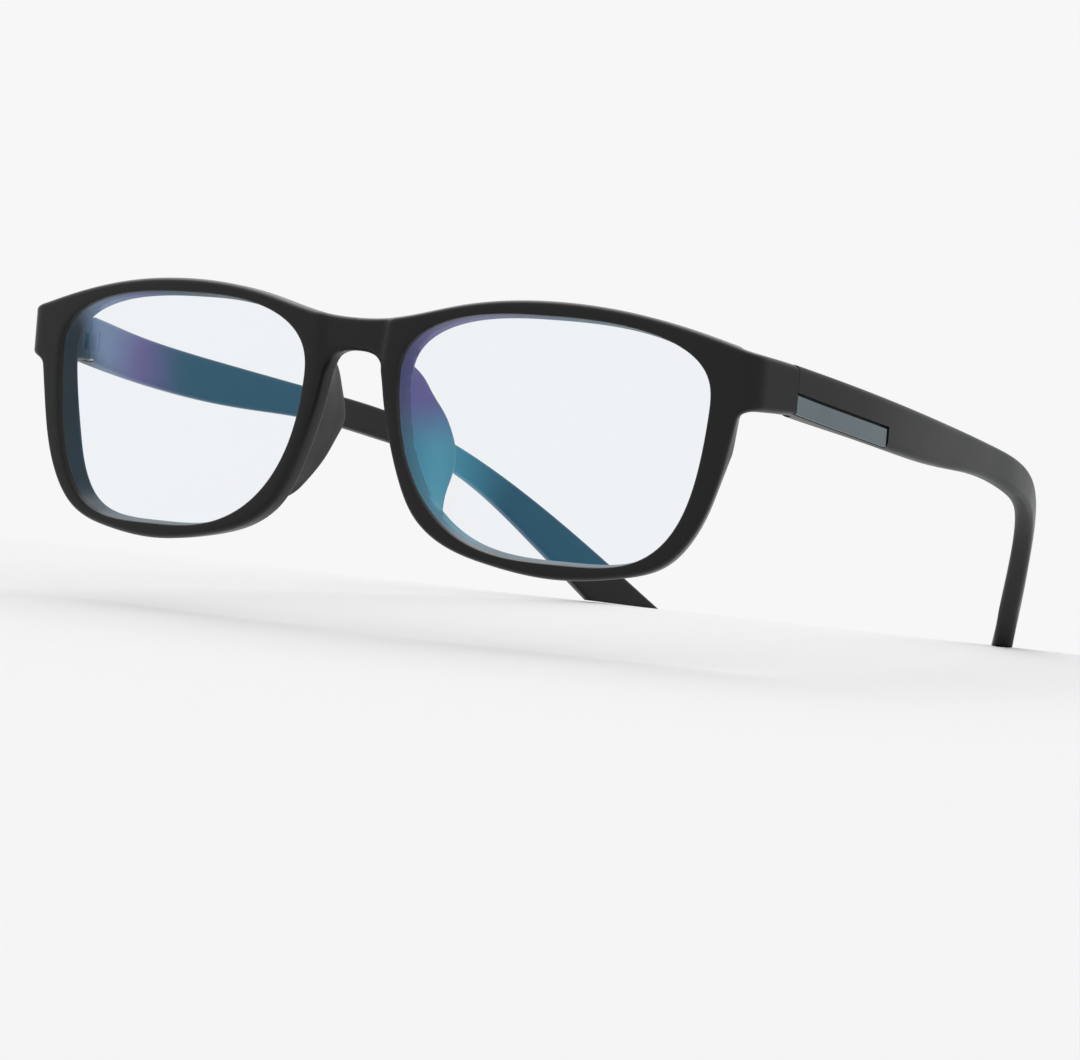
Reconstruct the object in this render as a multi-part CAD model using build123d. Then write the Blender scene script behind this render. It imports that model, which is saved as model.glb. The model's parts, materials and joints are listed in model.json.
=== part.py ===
"""Full-rim glasses for screen work: a curved front, two lenses and two folding temples.

The pieces are drawn in the wearer's frame: X to the wearer's left, Y towards the ears, Z up,
with the front face at Y = 0 in the middle of the bridge. At the end they are tipped back on
to the surface that the rims and the temple tips rest on.
"""

from build123d import *
import os
from math import atan2, degrees, hypot

# ---- driving dimensions, millimetres ----
eye_width = 53.0            # lens opening, across
eye_height = 36.8           # lens opening, top to bottom
bridge_gap = 17.6           # between the two lens openings
eye_centre_z = -0.8         # centre of the openings above the frame's datum
rim_outer = 3.8             # rim width beside the temple
rim_nose = 2.9              # rim width beside the nose
rim_top = 2.3               # rim width above the lens
rim_bottom = 2.0            # rim width below the lens
front_radius = 400.0        # plan curve of the front
front_depth = 4.0           # front face to back face
bridge_top = 15.4           # top of the bridge above the datum
bridge_height = 5.0         # bridge, top to bottom

arch_inset = 1.0            # foot of the arch under the bridge, in from the rim's edge

lug_reach = 4.3             # end piece beyond the side of the rim
lug_corner = 2.5            # plan radius where the front turns back
lug_flare = 1.0             # end piece wider at the seam than at the front, each side
lug_drop = 4.6              # top of the end piece below the top of the opening
lug_slope = 1.0             # fall of the end piece's top from the front to the seam
lug_notch = 3.7             # side of the rim, in from the outside of the end piece
lug_step = 1.4              # underside of the end piece above the start of the rim's side
seam_y = 16.0               # where the end piece meets the temple

lens_thickness = 1.8
lens_setback = 0.8          # front face of the rim to the front of the lens
groove_depth = 0.6          # lens edge held in the rim
lens_bevel = 0.5
lens_clearance = 0.05

knuckle_radius = 1.6
hinge_wall = 1.4            # temple outside the fork's slot
upper_barrel = 2.6          # heights of the fork's two arms and the tongue between them
tongue_height = 2.8
lower_barrel = 1.7
screw_radius = 0.6
screw_head_radius = 1.0
screw_head_height = 0.7
screw_slot_width = 0.3
screw_slot_depth = 0.35
screw_recess = 0.6          # head of the screw below the highest point of the temple
insert_radius = 1.05
insert_depth = 0.4          # threaded insert, below the tongue
pin_clearance = 0.05        # screw in the tongue, on the radius
hinge_clearance = 0.05      # between hinge faces that slide on each other
slot_clearance = 0.2        # round the barrel of the tongue

temple_thickness = 3.0
temple_reach = 133.0        # seam to the end of the tip, straight back
tip_drop = 8.4              # tip below the lowest point of the rims
tip_spacing = 74.0          # between the outer faces of the two tips

plaque_length = 23.8
plaque_height = 2.9
plaque_thickness = 0.6
plaque_recess = 0.8
plaque_gap = 0.4            # shadow line round the plaque
plaque_seat = 0.05          # bonding layer under the plaque
plaque_start = 0.2          # from the temple's front face to the plaque

pad_reach = 10.2            # nose pad behind the back of the rim
pad_splay = 2.6             # how far the pad leans outwards over its reach
pad_thickness = 2.2
pad_foot = 0.3              # extra thickness where it joins the rim
pad_inset = 0.5             # pad's outer face, in from the edge of the rim
pad_above = 9.5             # top of the pad above the middle of the opening
pad_below = 14.5            # foot of the pad below it

# ---- values that follow from them ----
half_eye = eye_width / 2
half_eye_z = eye_height / 2
eye_centre_x = bridge_gap / 2 + half_eye
rim_low = eye_centre_z - half_eye_z - rim_bottom
half_end = eye_centre_x + half_eye + rim_outer + lug_reach
end_top = eye_centre_z + half_eye_z - lug_drop
tongue_top = end_top - upper_barrel
tongue_bottom = tongue_top - tongue_height
end_bottom = tongue_bottom - lower_barrel
end_wall = 2 * knuckle_radius + slot_clearance + hinge_wall
bridge_bottom = bridge_top - bridge_height
hinge_x = half_end - end_wall + knuckle_radius
hinge_y = seam_y + knuckle_radius + 2 * hinge_clearance
slot_radius = knuckle_radius + slot_clearance
screw_top = end_top - screw_recess
head_bottom = screw_top - screw_head_height
insert_top = tongue_bottom - hinge_clearance - insert_depth
tip_y = seam_y + temple_reach
reach = 400.0               # longer than anything here, for cutting prisms
past = 1.0                  # how far a cut runs on beyond the face it opens


# ---- outlines ----
# Each pair is a fraction of the half width and half height of the opening, from its centre.
EYE = [
    (-1.0, 0.39), (-0.9, 0.75), (-0.6, 0.93), (-0.09, 1.0), (0.48, 0.95), (0.84, 0.78),
    (1.0, 0.34), (0.94, -0.2), (0.81, -0.67), (0.55, -0.93), (0.1, -1.0), (-0.39, -0.92),
    (-0.76, -0.63), (-0.93, -0.14),
]
# The lower outside of the rim, from the side round to the nose, as fractions of the
# opening's half sizes plus the rim widths.
RIM = [
    (0.98, 0.04), (0.934, -0.26), (0.855, -0.55), (0.696, -0.82),
    (0.42, -0.955), (0.09, -1.0), (-0.282, -0.94), (-0.588, -0.81), (-0.741, -0.65),
    (-0.854, -0.39), (-0.942, -0.056), (-0.997, 0.243),
]
# Top of the front, as a fraction of the way from the middle to the end, and of the rise
# from the bridge to the top of the rim.
BROW = [(0.0, 0.0), (0.095, 0.09), (0.265, 0.69), (0.49, 1.0), (0.74, 0.67)]


def eye_point(u, v, grow=0.0):
    """A point of the opening's outline, with its half sizes made larger by grow."""
    return (eye_centre_x + u * (half_eye + grow), eye_centre_z + v * (half_eye_z + grow))


def rim_point(u, v):
    """A point of the rim's lower outside."""
    rim_x = rim_outer if u > 0 else rim_nose
    return (eye_centre_x + u * (half_eye + rim_x), eye_centre_z + v * (half_eye_z + rim_bottom))


def nose_point():
    """Where the rim's side of the nose turns into the arch under the bridge."""
    return (bridge_gap / 2 - rim_nose - arch_inset, eye_centre_z + half_eye_z / 2)


def upright(outline):
    """Stand a sketch drawn as (x, z) up and stretch it through the whole depth."""
    return extrude(Plane.XZ * outline, amount=reach, both=True)


def sideways(outline):
    """Stand a sketch drawn as (y, z) up and stretch it through the whole width."""
    return extrude(Plane.YZ * outline, amount=reach, both=True)


def plan(outline):
    """Stretch a sketch drawn as (x, y) through the whole height."""
    return extrude(outline, amount=reach, both=True)


def closed(*edges):
    return make_face(Curve() + list(edges))


def eye_prism(grow=0.0):
    """The lens opening as a prism, for the wearer's left eye."""
    points = [eye_point(u, v, grow) for u, v in EYE]
    return upright(make_face(Spline(points, periodic=True)))


def front_slice(near, far):
    """The layer between two depths behind the curved front face."""
    centre = Pos(0, front_radius, 0)
    outside = Cylinder(front_radius - near, reach)
    inside = Cylinder(front_radius - far, reach)
    return centre * (outside - inside) & Box(reach, front_radius, reach)


def front_y(x, depth=0.0):
    """Y of the curved layer at a distance x from the middle."""
    radius = front_radius - depth
    return front_radius - (radius * radius - x * x) ** 0.5


# ---- the front ----
def front_outline():
    """Front view of the rims, the bridge and the end pieces, as a face in (x, z)."""
    brow_z = eye_centre_z + half_eye_z + rim_top
    beyond = half_end + end_wall
    brow = [(half_end * s, bridge_top + (brow_z - bridge_top) * rise) for s, rise in BROW]
    brow.append((half_end, end_top + lug_slope))
    top = Spline(brow, tangents=[(1, 0), (1, -0.25)])
    end_cap = Polyline((half_end, end_top + lug_slope), (beyond, end_top), (beyond, end_bottom))
    shoulder = (half_end - lug_notch, end_bottom - lug_step)
    side = [shoulder] + [rim_point(u, v) for u, v in RIM]
    notch = Spline(
        [(half_end - lug_flare, end_bottom), shoulder],
        tangents=[(-1, 0), (-0.3, -1)],
    )
    step = Line((beyond, end_bottom), (half_end - lug_flare, end_bottom))
    lower = Spline(side + [nose_point()], tangents=[(-0.3, -1), (-0.28, 1)])
    arch_foot = lower @ 1
    arch = Spline([arch_foot, (0, bridge_bottom)], tangents=[(-0.28, 1), (-1, 0)])
    half = Curve() + [top, end_cap, step, notch, lower, arch]
    other = mirror(half, about=Plane.YZ)
    return make_face(half + other)


def front_plan():
    """Plan view of the front: an arc that turns back at both ends, as a face in (x, y)."""
    inner = half_end - end_wall
    corner = half_end - lug_flare
    arc_front = ThreePointArc((-corner, front_y(corner)), (0, 0), (corner, front_y(corner)))
    arc_back = ThreePointArc(
        (-inner, front_y(inner, front_depth)), (0, front_depth), (inner, front_y(inner, front_depth))
    )
    wing = Polyline(arc_front @ 1, (half_end, seam_y), (inner, seam_y), arc_back @ 1)
    face = closed(arc_front, arc_back, wing, mirror(wing, about=Plane.YZ))
    outer = [v for v in face.vertices() if abs(abs(v.X) - corner) < 0.01]
    return fillet(outer, lug_corner)


def hinge_cylinder(radius, bottom, top):
    return Pos(hinge_x, hinge_y, bottom) * Cylinder(
        radius, top - bottom, align=(Align.CENTER, Align.CENTER, Align.MIN)
    )


def block(x0, x1, y0, y1, z0, z1):
    return Pos(x0, y0, z0) * Box(x1 - x0, y1 - y0, z1 - z0, align=(Align.MIN, Align.MIN, Align.MIN))


def make_front():
    """One moulding: two rims, the bridge, and an end piece with a hinge tongue each side."""
    front = upright(front_outline()) & plan(front_plan())
    wing_start = front_y(half_end - end_wall, front_depth)
    front -= sideways(make_face(Polyline(
        (wing_start, end_top + lug_slope), (seam_y, end_top), (seam_y + past, end_top),
        (seam_y + past, reach), (wing_start, reach), close=True)))
    front -= block(-reach / 2, reach / 2, wing_start, seam_y + past, -reach, end_bottom)
    for side in (1, -1):
        opening = eye_prism()
        groove = eye_prism(groove_depth) & front_slice(
            lens_setback, lens_setback + lens_thickness)
        tongue = hinge_cylinder(knuckle_radius, tongue_bottom, tongue_top)
        tongue += block(hinge_x - knuckle_radius, hinge_x + knuckle_radius,
                        seam_y - past, hinge_y, tongue_bottom, tongue_top)
        bore = hinge_cylinder(
            screw_radius + pin_clearance, tongue_bottom - past, tongue_top + past)
        if side < 0:
            opening = mirror(opening, about=Plane.YZ)
            groove = mirror(groove, about=Plane.YZ)
            tongue = mirror(tongue, about=Plane.YZ)
            bore = mirror(bore, about=Plane.YZ)
        front = front - opening - groove + tongue - bore
    return front


def make_lens():
    """A curved lens with a bevelled edge that snaps into the groove of the rim."""
    edge = eye_prism(groove_depth - lens_clearance)
    near = lens_setback + lens_clearance
    far = lens_setback + lens_thickness - lens_clearance
    lens = edge & front_slice(near, far)
    return chamfer([rim for rim in lens.edges() if rim.length > eye_width], lens_bevel)


# ---- the temples ----
# Outer face seen from above: fractions of the temple's length, and of the way in from the
# end piece to the tip. It bows out a little before it comes in behind the ear.
TEMPLE_PLAN = [
    (0.0, 0.0), (0.15, -0.052), (0.323, -0.018), (0.496, 0.07), (0.665, 0.228),
    (0.835, 0.568), (1.0, 1.0),
]
TEMPLE_SWELL = [0.2, 0.0, 0.0, 0.0, 0.3, 0.6]   # extra thickness at each of those but the first
# Edges seen from the side: fractions of the temple's length, and of the fall to the tip.
TEMPLE_TOP = [
    (0.0, 0.0), (0.15, 0.069), (0.323, 0.145), (0.496, 0.218), (0.665, 0.321),
    (0.835, 0.596), (1.0, 1.0),
]
TEMPLE_BOTTOM = [
    (0.0, 0.0), (0.105, 0.067), (0.233, 0.131), (0.346, 0.163), (0.466, 0.184),
    (0.594, 0.251), (0.699, 0.352), (0.847, 0.763), (0.917, 1.0),
]


def outer_path():
    """Points of the temple's outer face, as (x, y)."""
    turn_in = half_end - tip_spacing / 2
    return [(half_end - turn_in * v, seam_y + temple_reach * u) for u, v in TEMPLE_PLAN]


def edge_path(table, start, end):
    """Points of the temple's upper or lower edge, as (y, z)."""
    return [(seam_y + temple_reach * u, start + (end - start) * v) for u, v in table]


def top_path():
    return edge_path(TEMPLE_TOP, end_top, rim_low - tip_drop - past)


def bottom_path():
    return edge_path(TEMPLE_BOTTOM, end_bottom, rim_low - tip_drop - 2 * past)


def inset(points, depth):
    """Move each point of a path to its right by its own depth, square to the path."""
    moved = []
    for i, (x, y) in enumerate(points):
        ahead = points[min(i + 1, len(points) - 1)]
        behind = points[max(i - 1, 0)]
        run = hypot(ahead[0] - behind[0], ahead[1] - behind[1])
        moved.append((x - (ahead[1] - behind[1]) / run * depth[i],
                      y + (ahead[0] - behind[0]) / run * depth[i]))
    return moved


def temple_band(outer_depth, inner_depth):
    """The layer of the temple between two depths under its outer face."""
    outer = Spline(inset(outer_path(), outer_depth))
    inner = Spline(inset(outer_path(), inner_depth))
    return plan(closed(outer, inner, Line(outer @ 0, inner @ 0), Line(outer @ 1, inner @ 1)))


def temple_side():
    top = Spline(top_path())
    bottom = Spline(bottom_path())
    return closed(top, bottom, Line(top @ 0, bottom @ 0), Line(top @ 1, bottom @ 1))


def plaque_side(margin):
    """Side view of the plaque: a strip along the temple's lower edge, as a face in (y, z)."""
    next_y, next_z = bottom_path()[1]
    slope = (next_z - end_bottom) / (next_y - seam_y)
    start = seam_y + hinge_clearance + plaque_start - margin
    end = seam_y + plaque_length + margin
    rise = end_bottom + plaque_height + margin
    return make_face(Polyline(
        (start, rise), (end, rise + slope * (end - seam_y)), (end, -reach), (start, -reach),
        close=True))


def make_plaque():
    level = [plaque_recess - plaque_seat] * len(TEMPLE_PLAN)
    face = [plaque_recess - plaque_seat - plaque_thickness] * len(TEMPLE_PLAN)
    return temple_band(face, level) & sideways(temple_side()) & sideways(plaque_side(0.0))


def make_temple():
    """The arm, with a fork at the hinge that holds the tongue of the end piece."""
    count = len(TEMPLE_PLAN)
    wall = [end_wall - slot_clearance] + [temple_thickness + swell for swell in TEMPLE_SWELL]
    arm = temple_band([0.0] * count, wall) & sideways(temple_side())
    recess = temple_band([-past] * count, [plaque_recess] * count)
    arm -= recess & sideways(plaque_side(plaque_gap))
    arm -= block(0, reach, 0, seam_y + hinge_clearance, -reach / 2, reach / 2)
    # round the inner corner into the two barrels of the fork
    low, high = -reach / 2, reach / 2
    corner = block(hinge_x - end_wall, hinge_x, seam_y - past, hinge_y, low, high)
    corner -= hinge_cylinder(knuckle_radius, low, high)
    arm -= corner
    gap_low = tongue_bottom - hinge_clearance
    gap_high = tongue_top + hinge_clearance
    arm -= hinge_cylinder(slot_radius, gap_low, gap_high)
    near, far = seam_y - past, hinge_y + slot_radius
    arm -= block(hinge_x - end_wall, hinge_x, near, far, gap_low, gap_high)
    arm -= block(hinge_x, hinge_x + slot_radius, near, hinge_y, gap_low, gap_high)
    # the screw's way in from above, and the insert's from below
    arm -= hinge_cylinder(screw_radius + pin_clearance, low, high)
    arm -= hinge_cylinder(screw_head_radius + pin_clearance, head_bottom, high)
    arm -= hinge_cylinder(insert_radius, low, insert_top)
    return arm


def make_screw():
    """A slotted hinge screw: head in the upper barrel, thread in the insert below."""
    screw = hinge_cylinder(screw_radius, end_bottom, screw_top)
    screw += hinge_cylinder(screw_head_radius, head_bottom, screw_top)
    half_slot = screw_slot_width / 2
    slot = block(hinge_x - screw_head_radius - past, hinge_x + screw_head_radius + past,
                 hinge_y - half_slot, hinge_y + half_slot,
                 screw_top - screw_slot_depth, screw_top + past)
    return screw - slot


def make_insert():
    """The threaded sleeve pressed into the lower barrel."""
    sleeve = hinge_cylinder(insert_radius, end_bottom, insert_top)
    return sleeve - hinge_cylinder(screw_radius, end_bottom - past, insert_top + past)


# ---- nose pads ----
def pad_strip(shift, depth, y):
    """The pad's section at one depth: a strip that follows the rim beside the nose."""
    outside = [rim_point(u, v) for u, v in RIM[-5:]] + [nose_point()]
    near = [(x + shift, z) for x, z in outside]
    side_a = Spline(near)
    side_b = Spline([(x + depth, z) for x, z in near])
    face = closed(side_a, side_b, Line(side_a @ 0, side_b @ 0), Line(side_a @ 1, side_b @ 1))
    return Pos(0, y, 0) * (Plane.XZ * face)


def make_pad():
    """A lobe behind the rim that leans out along the side of the nose."""
    back = front_depth
    base = pad_strip(pad_inset, pad_thickness + pad_foot, back / 2)
    lean = pad_splay * (1 + back / pad_reach)
    tip = pad_strip(pad_inset + lean, pad_thickness, back + pad_reach)
    lobe = loft([base, tip])
    top_z = eye_centre_z + pad_above
    low_z = eye_centre_z - pad_below
    outline = Spline([
        (0, top_z), (back + 0.1 * pad_reach, top_z - 0.06 * pad_above),
        (back + 0.6 * pad_reach, top_z - 0.42 * pad_above), (back + pad_reach, eye_centre_z - 1.0),
        (back + 0.72 * pad_reach, low_z + 0.38 * pad_below),
        (back + 0.3 * pad_reach, low_z + 0.124 * pad_below), (0, low_z)])
    side = closed(outline, Line(outline @ 1, outline @ 0))
    pad = lobe & sideways(side)
    return pad - plan(front_plan())


# ---- the whole pair, on the surface that it stands on ----
def rest_turn():
    """The turn that brings the rims and the tips level."""
    run = tip_y - pad_reach - front_depth / 2
    return Rot(degrees(atan2(tip_drop, run)), 0, 0)


def stand(nodes):
    """Tip the pieces back, set the rims on Z = 0 and trim the temple tips flat there."""
    turned = {name: rest_turn() * shape for name, shape in nodes.items()}
    low = turned["frame_front"].bounding_box().min.Z
    turned = {name: Pos(0, 0, -low) * shape for name, shape in turned.items()}
    for name in ("temple_left", "temple_right"):
        turned[name] -= block(-reach, reach, -reach, reach, -reach, 0)
    near = turned["frame_front"].bounding_box().min.Y
    far = turned["temple_left"].bounding_box().max.Y
    return {name: Pos(0, -(near + far) / 2, 0) * shape for name, shape in turned.items()}


def make_all():
    left = {
        "lens": make_lens(),
        "nose_pad": make_pad(),
        "temple": make_temple(),
        "plaque": make_plaque(),
        "hinge_screw": make_screw(),
        "hinge_insert": make_insert(),
    }
    nodes = {"frame_front": make_front()}
    for name, piece in left.items():
        nodes[name + "_left"] = piece
        nodes[name + "_right"] = mirror(piece, about=Plane.YZ)
    return stand(nodes)


if __name__ == "__main__":
    os.makedirs("parts", exist_ok=True)
    nodes = make_all()
    for name, shape in nodes.items():
        print(name, len(shape.solids()), round(shape.volume, 2), shape.is_valid)
        export_step(shape, f"parts/{name}.step")
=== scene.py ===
"""Full-rim glasses for screen work, standing open on a pale table.

Shapes are worked out in the wearer's frame, in millimetres: X to the wearer's left, Y towards
the ears, Z up, with the front face at Y = 0 in the middle of the bridge. row() then turns them
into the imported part's frame, in metres.

The front is drawn flat, as outlines in s (the distance along the curved front, round the
corner and back to the temple) and z (the height). Its depth n runs from the outer face to the
inner one. A point of the flat drawing goes to outer(s) + (inner(s) - outer(s)) * n / depth.
A lens opening is four quarters of superellipses that meet on its widest line.
A temple is a run of rounded rectangles. Each has its foot on the lower edge and its head on the
upper edge at the same share of their lengths, and its outer side on the plan curve.
"""

import json

import bmesh
import bpy
import numpy as np
from mathutils import Matrix, Vector
from mathutils.geometry import delaunay_2d_cdt


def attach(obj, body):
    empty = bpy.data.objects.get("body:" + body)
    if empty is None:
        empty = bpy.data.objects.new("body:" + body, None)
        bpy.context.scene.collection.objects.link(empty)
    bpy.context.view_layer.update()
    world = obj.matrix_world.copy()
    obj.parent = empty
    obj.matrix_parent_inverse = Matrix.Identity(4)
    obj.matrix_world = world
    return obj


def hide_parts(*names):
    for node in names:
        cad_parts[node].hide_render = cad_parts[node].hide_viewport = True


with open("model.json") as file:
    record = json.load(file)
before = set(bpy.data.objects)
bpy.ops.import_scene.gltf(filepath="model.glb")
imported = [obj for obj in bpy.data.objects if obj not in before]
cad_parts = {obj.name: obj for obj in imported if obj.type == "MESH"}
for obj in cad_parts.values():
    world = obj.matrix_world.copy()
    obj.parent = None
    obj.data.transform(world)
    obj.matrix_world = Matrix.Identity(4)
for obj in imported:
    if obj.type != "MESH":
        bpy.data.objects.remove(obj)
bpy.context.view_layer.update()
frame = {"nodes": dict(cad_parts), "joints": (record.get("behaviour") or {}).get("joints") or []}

# ---- the wearer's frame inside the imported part's frame ----
fold = next(j for j in frame["joints"] if j["name"] == "left_temple_fold")
SIN, COS = -fold["axis"][1], fold["axis"][2]
HINGE = np.array([66.7, 17.7, 9.0])          # where that joint is, in the wearer's frame
TURN = np.array([[1, 0, 0], [0, COS, -SIN], [0, SIN, COS]])
SHIFT = np.array(fold["pos_m"]) * 1000 - TURN @ HINGE

# ---- sizes, millimetres ----
EYE_X, EYE_Z = 35.3, -0.8                    # middle of a lens opening
EYE_W, EYE_H = 26.5, 18.4                    # half sizes of the opening
RIM_OUTER, RIM_NOSE, RIM_BOTTOM = 4.1, 2.9, 2.0
RADIUS = 400.0                               # plan curve of the front
DEPTH = 4.0                                  # front face to back face
SEAM = 16.0                                  # where the end piece meets the temple
HALF = 69.9                                  # half the width at the seam
INNER = 65.1                                 # inside of the end piece
TIP = 149.0                                  # end of the temple
GAP = 0.05                                   # between faces that slide on each other
CORNER, CORNER_RADIUS = 68.9, 2.5            # where the front turns back, and how roundly
ARCH_TOP, BRIDGE_TOP = 10.4, 15.4            # under and over the bridge, in the middle
NOTCH = (66.2, 4.5)                          # top of the rim's side, under the end piece
LUG_LOW, LUG_HIGH, LUG_END = 5.9, 13.24, 79.6    # end piece, drawn on past the seam
LENS_BACK = 0.55                             # front of the rim to the front of the lens

KNUCKLE, SLOT = 1.6, 1.8                     # radii of the tongue's end and the slot round it
TONGUE_LOW, TONGUE_HIGH, TONGUE_ROOT = 7.6, 10.4, 2.9
SCREW_HOLE, HEAD_HOLE = 0.66, 1.06           # radii; the insert's hole is as wide as the head's
HEAD_FROM, SLEEVE_TO = 11.7, 7.16            # under the screw's head, and top of the insert
ARRIS = 0.12                                 # rounding of the smallest edges

RECESS_END = 40.3                            # in Y
RECESS_HIGH, RECESS_DEEP = 3.25, 0.8         # above the temple's lower edge, under its face
PLAQUE_START, PLAQUE_END = 0.25, 39.9        # from the seam, and in Y
PLAQUE_LOW, PLAQUE_HIGH = 0.12, 2.9          # above the temple's lower edge
PLAQUE_FACE, PLAQUE_BACK = 0.16, 0.76        # under the temple's outer face

EYE_WIDEST = 7.3                             # widest line of the opening, above its middle
EYE_TOP_AT, EYE_BOTTOM_AT = -2.4, 2.6        # its highest and lowest points, from its middle
EYE_NARROWS = 0.12                           # how much narrower it gets towards the bottom
SQUARE_BROW, SQUARE_BRIDGE = 2.6, 2.5        # squareness of its upper corners; 2 is an ellipse
SQUARE_CHEEK, SQUARE_NOSE = 3.8, 2.85        # and of its lower ones
EYE_LOW = 18.1                               # its lowest point, below its middle
# The rim's lower outside, from the side round to the nose: shares of its half sizes.
RIM = [
    (0.98, 0.04), (0.934, -0.26), (0.855, -0.55), (0.696, -0.82), (0.42, -0.955), (0.09, -1.0),
    (-0.282, -0.94), (-0.588, -0.81), (-0.741, -0.65), (-0.854, -0.39), (-0.942, -0.056),
    (-0.997, 0.243),
]


# ---- curves ----
def cubic(t, p, q):
    """Values at q of the cubic spline through the values p at the parameters t."""
    t, p, q = np.asarray(t, float), np.asarray(p, float), np.asarray(q, float)
    n, h = len(t), np.diff(t)
    slope = (p[1:] - p[:-1]) / (h[:, None] if p.ndim > 1 else h)
    system = np.zeros((n, n))
    right = np.zeros_like(p)
    i = np.arange(1, n - 1)
    system[i, i - 1], system[i, i], system[i, i + 1] = h[:-1], 2 * (h[:-1] + h[1:]), h[1:]
    right[i] = 6 * (slope[1:] - slope[:-1])
    system[0, 0] = system[-1, -1] = 1
    bend = np.linalg.solve(system, right)
    k = np.clip(np.searchsorted(t, q, side="right") - 1, 0, n - 2)
    a, b, c = t[k + 1] - q, q - t[k], h[k]
    if p.ndim > 1:
        a, b, c = a[:, None], b[:, None], c[:, None]
    curved = (bend[k] * (a ** 3 / c - a * c) + bend[k + 1] * (b ** 3 / c - b * c)) / 6
    return curved + (p[k] * a + p[k + 1] * b) / c


def lengths(p):
    """How far along a path each of its points is."""
    return np.concatenate([[0], np.cumsum(np.linalg.norm(np.diff(p, axis=0), axis=1))])


def along(points, step=None, count=None):
    """Points spaced evenly along the cubic spline through the given ones."""
    p = np.asarray(points, float)
    t = lengths(p)
    fine = cubic(t, p, np.linspace(0, t[-1], 6000))
    run = lengths(fine)
    if count is None:
        count = int(round(run[-1] / step)) + 1
    at = np.linspace(0, run[-1], count)
    return np.stack([np.interp(at, run, fine[:, k]) for k in range(p.shape[1])], 1)


def straight(a, b, step):
    count = max(2, int(round(np.hypot(b[0] - a[0], b[1] - a[1]) / step)) + 1)
    return np.linspace(a, b, count)


def joined(*runs):
    """One path from several that follow on from each other."""
    return np.vstack([runs[0]] + [r[1:] for r in runs[1:]])


def grown(loop, distance):
    """An anticlockwise loop moved outwards by a distance, square to itself."""
    ahead = np.roll(loop, -1, 0) - np.roll(loop, 1, 0)
    ahead /= np.linalg.norm(ahead, axis=1)[:, None]
    return loop + distance * np.stack([ahead[:, 1], -ahead[:, 0]], 1)


# ---- meshes ----
def row(points):
    """Points of the wearer's frame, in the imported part's frame and in metres."""
    return (points @ TURN.T + SHIFT) / 1000


def fresh(points, faces):
    """A bmesh of points in millimetres and faces, with its faces turned outwards."""
    mesh = bpy.data.meshes.new("draft")
    mesh.from_pydata(points.tolist(), [], [list(map(int, f)) for f in faces])
    bm = bmesh.new()
    bm.from_mesh(mesh)
    bpy.data.meshes.remove(mesh)
    bmesh.ops.remove_doubles(bm, verts=bm.verts, dist=0.004)
    bmesh.ops.recalc_face_normals(bm, faces=bm.faces)
    if bm.calc_volume(signed=True) < 0:
        bmesh.ops.reverse_faces(bm, faces=bm.faces)
    return bm


def cut_flat(bm, point, normal, edge=0.0):
    """Take away what is beyond a plane, close the end, and round its edge."""
    geometry = bm.verts[:] + bm.edges[:] + bm.faces[:]
    done = bmesh.ops.bisect_plane(
        bm, geom=geometry, dist=0.001, plane_co=point, plane_no=normal, clear_outer=True)
    rim = [e for e in done["geom_cut"] if isinstance(e, bmesh.types.BMEdge) and e.is_boundary]
    bmesh.ops.edgeloop_fill(bm, edges=rim)
    if edge:
        bmesh.ops.bevel(bm, geom=rim, offset=edge, segments=3, affect="EDGES", clamp_overlap=True)


def piece(name, bm, body, node, material, mirror=False, crease=38):
    """An object of the scene from a bmesh in millimetres, riding a body of the part."""
    mesh = bpy.data.meshes.new(name)
    bm.to_mesh(mesh)
    count = len(mesh.vertices)
    flat = np.empty(count * 3)
    mesh.vertices.foreach_get("co", flat)
    points = flat.reshape(-1, 3)
    if mirror:
        points = points * [-1, 1, 1]
        mesh.flip_normals()
    mesh.vertices.foreach_set("co", row(points).ravel())
    mesh.shade_smooth()
    mesh.set_sharp_from_angle(angle=np.radians(crease))
    mesh.update()
    mesh.materials.append(material)
    obj = bpy.data.objects.new(name, mesh)
    bpy.context.scene.collection.objects.link(obj)
    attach(obj, body)
    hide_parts(node)
    return obj


def cut_away(bm, *cutters):
    """A bmesh less some closed shapes, by exact boolean."""
    def holder(source):
        mesh = bpy.data.meshes.new("draft")
        source.to_mesh(mesh)
        obj = bpy.data.objects.new("draft", mesh)
        bpy.context.scene.collection.objects.link(obj)
        return obj
    target = holder(bm)
    tools = [holder(c) for c in cutters]
    for tool in tools:
        step = target.modifiers.new("cut", "BOOLEAN")
        step.operation, step.solver, step.object = "DIFFERENCE", "EXACT", tool
    graph = bpy.context.evaluated_depsgraph_get()
    result = bpy.data.meshes.new_from_object(target.evaluated_get(graph))
    out = bmesh.new()
    out.from_mesh(result)
    bmesh.ops.remove_doubles(out, verts=out.verts, dist=0.002)
    for obj in [target] + tools:
        mesh = obj.data
        bpy.data.objects.remove(obj)
        bpy.data.meshes.remove(mesh)
    bpy.data.meshes.remove(result)
    return out


def tube_faces(rows, columns, start=0, close_rows=False):
    """Quads of a grid of rows that each close on themselves."""
    r = np.arange(rows if close_rows else rows - 1)[:, None]
    c = np.arange(columns)[None, :]
    nr, nc = (r + 1) % rows, (c + 1) % columns
    quads = np.stack(np.broadcast_arrays(
        r * columns + c, r * columns + nc, nr * columns + nc, nr * columns + c), -1)
    return (quads.reshape(-1, 4) + start).tolist()


def tube(sections):
    """A closed solid through sections, an array of rows x points x 3, with flat ends."""
    rows, columns = sections.shape[:2]
    faces = tube_faces(rows, columns)
    faces.append(list(range(columns))[::-1])
    faces.append(list(range((rows - 1) * columns, rows * columns)))
    return fresh(sections.reshape(-1, 3), faces)


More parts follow.
